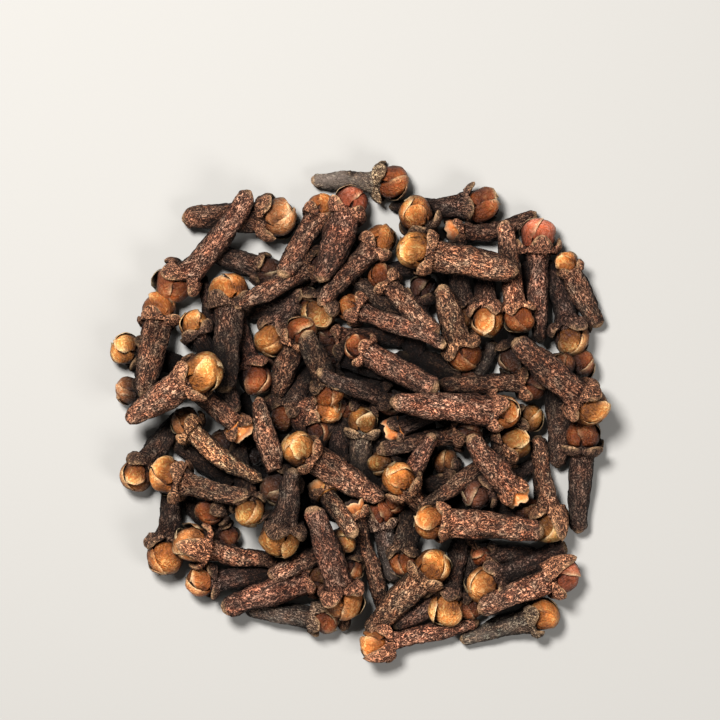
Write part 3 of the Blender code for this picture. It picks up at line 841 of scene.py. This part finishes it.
class Nodes:
    """Short names for building one node tree."""

    def __init__(self, tree):
        self.tree = tree

    def add(self, kind, **values):
        node = self.tree.nodes.new(kind)
        for name, value in values.items():
            setattr(node, name, value)
        return node

    def feed(self, target, value):
        """Sets a socket to a number, a vector or a colour, or links another socket to it."""
        if isinstance(value, bpy.types.NodeSocket):
            self.tree.links.new(value, target)
        elif isinstance(value, (int, float)):
            target.default_value = value
        else:
            target.default_value = tuple(value) + (1.0,) * (target.type == "RGBA")

    def feed_all(self, node, values):
        for name, value in values.items():
            self.feed(node.inputs[name], value)
        return node

    def maths(self, operation, *values, clamp=False):
        node = self.add("ShaderNodeMath", operation=operation, use_clamp=clamp)
        return self.feed_all(node, dict(enumerate(values))).outputs[0]

    def vector(self, operation, first, second):
        node = self.add("ShaderNodeVectorMath", operation=operation)
        other = "Scale" if operation == "SCALE" else 1
        return self.feed_all(node, {0: first, other: second}).outputs[0]

    def between(self, value, low, high, out_low=0.0, out_high=1.0):
        """A value taken smoothly from one range to another."""
        node = self.add("ShaderNodeMapRange", interpolation_type="SMOOTHSTEP")
        return self.feed_all(node, {
            "Value": value, "From Min": low, "From Max": high, "To Min": out_low, "To Max": out_high,
        }).outputs["Result"]

    def cloud(self, vector, scale, detail, **more):
        node = self.add("ShaderNodeTexNoise")
        return self.feed_all(node, {"Vector": vector, "Scale": scale, "Detail": detail, **more})

    def mix(self, share, first, second):
        """The first colour turning into the second as the share goes from 0 to 1."""
        node = self.add("ShaderNodeMix", data_type="RGBA")
        sockets = {item.identifier: item for item in (*node.inputs, *node.outputs)}
        self.feed(sockets["Factor_Float"], share)
        self.feed(sockets["A_Color"], first)
        self.feed(sockets["B_Color"], second)
        return sockets["Result_Color"]

    def blend(self, *parts):
        """The sum of values, each times its share."""
        total, *others = [self.maths("MULTIPLY", value, share) for value, share in parts]
        for part in others:
            total = self.maths("ADD", total, part)
        return total

    def mark(self, name, kind="Fac"):
        return self.add("ShaderNodeAttribute", attribute_name=name).outputs[kind]

    def group(self, tree, **values):
        """Places a node group, with its inputs named as keywords."""
        node = self.add("ShaderNodeGroup", node_tree=tree)
        values = {name.replace("_", " "): value for name, value in values.items()}
        return self.feed_all(node, values).outputs[0]


COLOUR, VECTOR, NUMBER = "NodeSocketColor", "NodeSocketVector", "NodeSocketFloat"


def new_group(name, gives, kind, **takes):
    """A group with its sockets: the one it gives, and those it takes, by kind or by number."""
    group = bpy.data.node_groups.new(name, "ShaderNodeTree")
    for label, given in takes.items():
        label = label.replace("_", " ")
        if isinstance(given, str):
            group.interface.new_socket(name=label, in_out="INPUT", socket_type=given)
        else:
            made = group.interface.new_socket(name=label, in_out="INPUT", socket_type=NUMBER)
            made.default_value = given
    group.interface.new_socket(name=gives, in_out="OUTPUT", socket_type=kind)
    nodes = Nodes(group)
    return group, nodes, nodes.add("NodeGroupInput").outputs, nodes.add("NodeGroupOutput").inputs


def net_group():
    """The height of a net of fine wrinkles, from coordinates in mm."""
    group, nodes, given, result = new_group(
        "Wrinkle net", "Height", NUMBER, Vector=VECTOR, Scale=3.0, Stretch=0.6,
    )
    scale = given["Scale"]
    shape = nodes.add("ShaderNodeCombineXYZ")
    nodes.feed_all(shape, {"X": 1.0, "Y": 1.0, "Z": given["Stretch"]})
    stretched = nodes.vector("MULTIPLY", given["Vector"], shape.outputs[0])
    wander = nodes.cloud(stretched, 1.6, 2.0)
    warped = nodes.vector("ADD", stretched, nodes.vector("SCALE", wander.outputs["Color"], 0.9))
    meander = nodes.cloud(warped, nodes.maths("MULTIPLY", scale, 0.60), 1.0, Distortion=0.4)
    away = nodes.maths("ABSOLUTE", nodes.maths("SUBTRACT", meander.outputs[0], 0.5))
    lines = nodes.between(away, 0.0, 0.12, 1.0, 0.0)
    cells = nodes.add("ShaderNodeTexVoronoi", feature="F1")
    nodes.feed_all(cells, {"Vector": warped, "Scale": scale})
    bumps = nodes.between(cells.outputs["Distance"], 0.05, 0.85, 1.0, 0.0)
    cloud = nodes.cloud(warped, nodes.maths("MULTIPLY", scale, 1.3), 3.0, Roughness=0.7)
    rough = nodes.between(cloud.outputs[0], 0.30, 0.70)
    long = nodes.vector("MULTIPLY", warped, (1.0, 1.0, 0.36))
    folds = nodes.cloud(long, nodes.maths("MULTIPLY", scale, 0.5), 1.0)
    furrows = nodes.between(folds.outputs[0], 0.36, 0.64)
    height = nodes.blend((lines, 0.42), (bumps, 0.16), (rough, 0.28), (furrows, 0.14))
    nodes.feed(result["Height"], height)
    return group


def tone_group():
    """Shades a colour by relief: painted shade in the creases, and on the tips pale wear with painted
    highlight over it.
    """
    group, nodes, given, result = new_group(
        "Relief tone", "Color", COLOUR, Color=COLOUR, Crease_Color=COLOUR, Tip_Color=COLOUR,
        Relief=0.5, Creases=0.8, Tips=0.5,
    )
    relief = given["Relief"]
    shade_share = nodes.maths("MULTIPLY", nodes.between(relief, 0.22, 0.50, 1.0, 0.0), given["Creases"])
    body = nodes.mix(shade_share, given["Color"], given["Crease Color"])
    tips = nodes.maths("MULTIPLY", nodes.between(relief, 0.54, 0.77), given["Tips"])
    nodes.feed(result["Color"], nodes.mix(tips, body, given["Tip Color"]))
    return group


def bloom_group():
    """Patches of pale dust that lie over a colour."""
    group, nodes, given, result = new_group(
        "Dust bloom", "Color", COLOUR, Color=COLOUR, Vector=VECTOR, Amount=0.2,
    )
    cloud = nodes.cloud(given["Vector"], 0.45, 3.0)
    patch = nodes.maths("MULTIPLY", nodes.between(cloud.outputs[0], 0.25, 0.55), given["Amount"])
    nodes.feed(result["Color"], nodes.mix(patch, given["Color"], paint(146, 130, 118)))
    return group


def new_material(name, roughness):
    material = bpy.data.materials.new(name)
    material.use_nodes = True
    shader = material.node_tree.nodes["Principled BSDF"]
    shader.inputs["Roughness"].default_value = roughness
    return material, Nodes(material.node_tree), shader


def finish_surface(nodes, shader, colour, colours, height, strength, distance):
    """Paints shade over a colour where the surface lies deep in the heap, and adds the finest relief.
    """
    deepest_shade = [0.35 * value for value in colours.crevice_shade]
    nodes.feed(shader.inputs["Base Color"], nodes.mix(nodes.mark("shade"), deepest_shade, colour))
    bump = nodes.add("ShaderNodeBump")
    nodes.feed_all(bump, {"Strength": strength, "Distance": distance, "Height": height})
    nodes.feed(shader.inputs["Normal"], bump.outputs[0])


def shifted(nodes, tint, wanted, usual):
    """A tint times what turns its usual colour into the wanted one."""
    return nodes.vector("MULTIPLY", tint, [new / old for new, old in zip(wanted, usual)])


def skin_material(groups, colours):
    material, nodes, shader = new_material("wrinkled_skin", 0.62)
    shader.inputs["Specular IOR Level"].default_value = 0.14
    place = nodes.mark("grain", "Vector")
    net = nodes.group(groups["net"], Vector=place, Scale=5.6, Stretch=0.60)
    relief = nodes.blend((nodes.mark("relief"), 0.16), (net, 0.86))
    tint = nodes.mark("tint", "Color")
    # Painted shade in the creases; pale worn tips with painted highlight.
    toned = nodes.group(
        groups["tone"], Color=tint, Relief=relief, Creases=0.95, Tips=0.95,
        Crease_Color=shifted(nodes, tint, colours.crevice_shade, colours.skin_brown),
        Tip_Color=shifted(nodes, tint, colours.ridge_wear_and_highlight, colours.skin_brown),
    )
    dusty = nodes.group(groups["bloom"], Color=toned, Vector=place, Amount=nodes.mark("dust"))
    worn = nodes.between(relief, 0.2, 0.7, 0.3, 1.0)
    edge = nodes.maths("MULTIPLY", nodes.mark("pale"), worn, clamp=True)
    pale = nodes.mix(edge, dusty, colours.sepal_edge)
    nodes.feed(shader.inputs["Roughness"], nodes.between(relief, 0.3, 0.8, 0.80, 0.45))
    finish_surface(nodes, shader, pale, colours, net, strength=1.0, distance=0.00042)
    return material


def flesh_material(groups, colours):
    material, nodes, shader = new_material("bud_flesh", 0.5)
    shader.inputs["Specular IOR Level"].default_value = 0.28
    net = nodes.group(groups["net"], Vector=nodes.mark("grain", "Vector"), Scale=3.0, Stretch=0.8)
    relief = nodes.blend((nodes.mark("relief"), 0.48), (net, 0.48))
    tint = nodes.mark("tint", "Color")
    # Painted shade in the creases; pale wear with painted highlight on the crowns.
    toned = nodes.group(
        groups["tone"], Color=tint, Relief=relief, Creases=0.90, Tips=0.95,
        Crease_Color=paint(58, 25, 10),
        Tip_Color=shifted(nodes, tint, colours.petal_crown_wear_and_highlight, colours.flesh_gold),
    )
    # Painted shade under overlapping petal edges, on petals' inner sides and on the ball.
    shade_share = nodes.maths("MULTIPLY", nodes.mark("crease_shade"), 0.94, clamp=True)
    crease_shaded = nodes.mix(shade_share, toned, colours.crevice_shade)
    edge = nodes.maths("MULTIPLY", nodes.mark("pale"), 0.95, clamp=True)
    pale = nodes.mix(edge, crease_shaded, colours.petal_edge)
    nodes.feed(shader.inputs["Roughness"], nodes.between(relief, 0.2, 0.9, 0.58, 0.34))
    finish_surface(nodes, shader, pale, colours, net, strength=1.0, distance=0.00028)
    return material


def hollow_material(groups, colours):
    material, nodes, shader = new_material("cup_inside", 0.8)
    net = nodes.group(groups["net"], Vector=nodes.mark("grain", "Vector"), Scale=3.0, Stretch=0.8)
    relief = nodes.blend((nodes.mark("relief"), 0.5), (net, 0.5))
    toned = nodes.group(
        groups["tone"], Color=nodes.mark("tint", "Color"), Relief=relief, Creases=0.6, Tips=0.4,
        Crease_Color=paint(90, 46, 24), Tip_Color=colours.petal_edge,
    )
    edge = nodes.maths("MULTIPLY", nodes.mark("pale"), 0.7, clamp=True)
    rim = nodes.mix(edge, toned, colours.petal_edge)
    # Painted shade: the cup's inside darkened towards the bottom, and in the creases.
    shade_share = nodes.maths("MULTIPLY", nodes.mark("crease_shade"), 0.92, clamp=True)
    inside = nodes.mix(shade_share, rim, colours.crevice_shade)
    finish_surface(nodes, shader, inside, colours, net, strength=0.6, distance=0.00012)
    return material


def clove_materials():
    """The three finishes, made once and then shared by every kind of clove."""
    names = ("wrinkled_skin", "bud_flesh", "cup_inside")
    if names[0] in bpy.data.materials:
        return [bpy.data.materials[name] for name in names]
    colours = bpy.context.scene.clove_colours
    groups = {"net": net_group(), "tone": tone_group(), "bloom": bloom_group()}
    return [make(groups, colours) for make in (skin_material, flesh_material, hollow_material)]


def attach(piece):
    """Puts a finished piece on the heap's body, in place of the plain solid."""
    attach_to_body(piece, BODY)
    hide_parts(NODE)


def grow_kind(name, form, layers=("low", "middle", "top")):
    growth = Growth(name)
    heap, cloves = settled_heap()
    for layer, clove in cloves:
        if clove.form == form and layer in layers:
            clove.grow(growth)
    if not growth.count:
        raise RuntimeError("no cloves of the kind " + name)
    attach(growth.finish(clove_materials(), heap))


def grow_core(name, colours):
    """A low uneven mound with crumb-sized bumps, flat below, that the middle of the heap lies on,
    painted dark as shade.
    """
    growth = Growth(name)
    under, over = CORE_ROWS
    out = np.concatenate([np.linspace(0.02, 1.0, under), np.linspace(1.0, 0.01, over)])
    rise = np.concatenate([np.zeros(under), smooth(0.0, 0.30, np.linspace(0.0, 1.0, over))])
    out, angle = rings(out, CORE_COLUMNS)
    ragged = noise(round_axis(CORE_RADIUS, angle, 0.0 * angle), (3.0, 3.0, 3.0), 7.0)
    rise = rise[:, None] + 0.0 * angle
    flat = round_axis(CORE_RADIUS * out * (0.90 + 0.08 * ragged), angle, rise)
    lumps = ridges(flat, (2.6, 2.6, 9.0), 19.0)
    crumbs = ridges(flat, (0.8, 0.8, 9.0), 43.0)
    height = FLOOR_GAP + CORE_HEIGHT * rise * (0.35 + 0.45 * lumps + 0.20 * crumbs)
    grid = np.stack([CORE_AT[0] + flat[..., 0], CORE_AT[1] + flat[..., 1], height], axis=-1)
    relief = np.clip(0.5 * lumps + 0.4 * crumbs, 0.0, 1.0)
    # Painted shade: the mound is coloured far darker than any skin, so that it reads as shade in the
    # gaps.
    growth.add(grid, SKIN, 0.55 * np.array(colours.skin_dark), relief, 0.0, 0.0, grid)
    attach(growth.finish(clove_materials(), settled_heap()[0]))


class CLOVES_OT_core(bpy.types.Operator):
    """Grow the low mound under the middle of the heap, painted dark as shade"""

    bl_idname = "cloves.core"
    bl_label = "Core"

    def execute(self, context):
        grow_core("clove_core", context.scene.clove_colours)
        return {"FINISHED"}


class CLOVES_OT_round_low(bpy.types.Operator):
    """Grow the cloves with whole round buds that lie lowest"""

    bl_idname = "cloves.round_low"
    bl_label = "Round buds, low layer"

    def execute(self, context):
        grow_kind("cloves_round_low", "round", ("low", "fill"))
        return {"FINISHED"}


class CLOVES_OT_round_middle(bpy.types.Operator):
    """Grow the cloves with whole round buds in the middle layer"""

    bl_idname = "cloves.round_middle"
    bl_label = "Round buds, middle layer"

    def execute(self, context):
        grow_kind("cloves_round_middle", "round", ("middle",))
        return {"FINISHED"}


class CLOVES_OT_round_top(bpy.types.Operator):
    """Grow the cloves with whole round buds that lie on top"""

    bl_idname = "cloves.round_top"
    bl_label = "Round buds, top layer"

    def execute(self, context):
        grow_kind("cloves_round_top", "round", ("top",))
        return {"FINISHED"}


class CLOVES_OT_split(bpy.types.Operator):
    """Grow the cloves whose petals have split apart"""

    bl_idname = "cloves.split"
    bl_label = "Split buds"

    def execute(self, context):
        grow_kind("cloves_split", "split")
        return {"FINISHED"}


class CLOVES_OT_hooded(bpy.types.Operator):
    """Grow the cloves with a sepal that arches over the bud"""

    bl_idname = "cloves.hooded"
    bl_label = "Hooded buds"

    def execute(self, context):
        grow_kind("cloves_hooded", "hooded")
        return {"FINISHED"}


class CLOVES_OT_open(bpy.types.Operator):
    """Grow the cloves that have lost their bud and show an open cup"""

    bl_idname = "cloves.open"
    bl_label = "Open cups"

    def execute(self, context):
        grow_kind("cloves_open", "open")
        return {"FINISHED"}


class CLOVES_OT_stalks(bpy.types.Operator):
    """Grow the stem piece without a head and the thin twig"""

    bl_idname = "cloves.stalks"
    bl_label = "Stalks"

    def execute(self, context):
        grow_kind("clove_stalks", "stalk")
        return {"FINISHED"}


class CLOVES_OT_stage(bpy.types.Operator):
    """Set the floor, the light and the camera straight above the heap"""

    bl_idname = "cloves.stage"
    bl_label = "Stage"

    def execute(self, context):
        stage = context.scene.clove_stage
        self.make_floor(stage)
        self.make_lights(context, stage)
        self.make_camera(context, stage)
        return {"FINISHED"}

    def make_floor(self, stage):
        bpy.ops.mesh.primitive_plane_add(size=4.0, location=(0.0, 0.0, 0.0))
        floor = bpy.context.object
        floor.name = "floor"
        material, nodes, shader = new_material("pale_floor", 0.85)
        nodes.feed(shader.inputs["Base Color"], stage.floor_colour)
        floor.data.materials.append(material)

    def make_lights(self, context, stage):
        context.scene.view_settings.view_transform = "Standard"
        self.area("key", KEY_AT, KEY_SIZE, stage.key_power)
        self.area("fill", FILL_AT, FILL_SIZE, stage.fill_power)
        world = bpy.data.worlds.new("studio")
        world.use_nodes = True
        background = world.node_tree.nodes["Background"]
        background.inputs["Color"].default_value = STUDIO_COLOUR
        background.inputs["Strength"].default_value = STUDIO_STRENGTH
        context.scene.world = world

    def area(self, name, place, size, power):
        light = bpy.data.lights.new(name, "AREA")
        light.shape = "DISK"
        light.size = size
        light.energy = power
        lamp = bpy.data.objects.new(name, light)
        lamp.location = place
        lamp.rotation_euler = (-Vector(place)).to_track_quat("-Z", "Y").to_euler()
        bpy.context.scene.collection.objects.link(lamp)

    def make_camera(self, context, stage):
        """Straight above, with the heap a little below the middle of the view as photographed."""
        place_x = (CENTRE_PIXEL - HEAP_PIXEL[0]) / PIXELS_PER_MM - HEAP_MIDDLE[0]
        place_y = (HEAP_PIXEL[1] - CENTRE_PIXEL) / PIXELS_PER_MM - HEAP_MIDDLE[1]
        data = bpy.data.cameras.new("camera")
        data.sensor_width = 36.0
        data.lens = data.sensor_width * stage.camera_height / stage.field
        data.clip_start = 0.01
        camera = bpy.data.objects.new("camera", data)
        camera.location = (place_x * MM, place_y * MM, stage.camera_height + MID_LEVEL)
        context.scene.collection.objects.link(camera)
        context.scene.camera = camera


class CLOVES_PT_heap(bpy.types.Panel):
    """The heap's pieces, one button each"""

    bl_idname = "CLOVES_PT_heap"
    bl_label = "Clove Heap"
    bl_space_type = "VIEW_3D"
    bl_region_type = "UI"
    bl_category = "Cloves"

    def draw(self, context):
        for operator in OPERATORS:
            self.layout.operator(operator.bl_idname)
        for name in ("clove_sizes", "clove_colours", "clove_stage"):
            group = getattr(context.scene, name)
            for key in group.__annotations__:
                self.layout.prop(group, key)


OPERATORS = (
    CLOVES_OT_core,
    CLOVES_OT_round_low,
    CLOVES_OT_round_middle,
    CLOVES_OT_round_top,
    CLOVES_OT_split,
    CLOVES_OT_hooded,
    CLOVES_OT_open,
    CLOVES_OT_stalks,
    CLOVES_OT_stage,
)
CLASSES = (CloveSizes, CloveColours, CloveStage) + OPERATORS + (CLOVES_PT_heap,)


def register():
    for item in CLASSES:
        bpy.utils.register_class(item)
    bpy.types.Scene.clove_sizes = bpy.props.PointerProperty(type=CloveSizes)
    bpy.types.Scene.clove_colours = bpy.props.PointerProperty(type=CloveColours)
    bpy.types.Scene.clove_stage = bpy.props.PointerProperty(type=CloveStage)


def unregister():
    del bpy.types.Scene.clove_sizes
    del bpy.types.Scene.clove_colours
    del bpy.types.Scene.clove_stage
    for item in reversed(CLASSES):
        bpy.utils.unregister_class(item)


def main():
    register()
    bpy.ops.cloves.core()
    bpy.ops.cloves.round_low()
    bpy.ops.cloves.round_middle()
    bpy.ops.cloves.round_top()
    bpy.ops.cloves.split()
    bpy.ops.cloves.hooded()
    bpy.ops.cloves.open()
    bpy.ops.cloves.stalks()
    bpy.ops.cloves.stage()


if __name__ == "__main__":
    main()
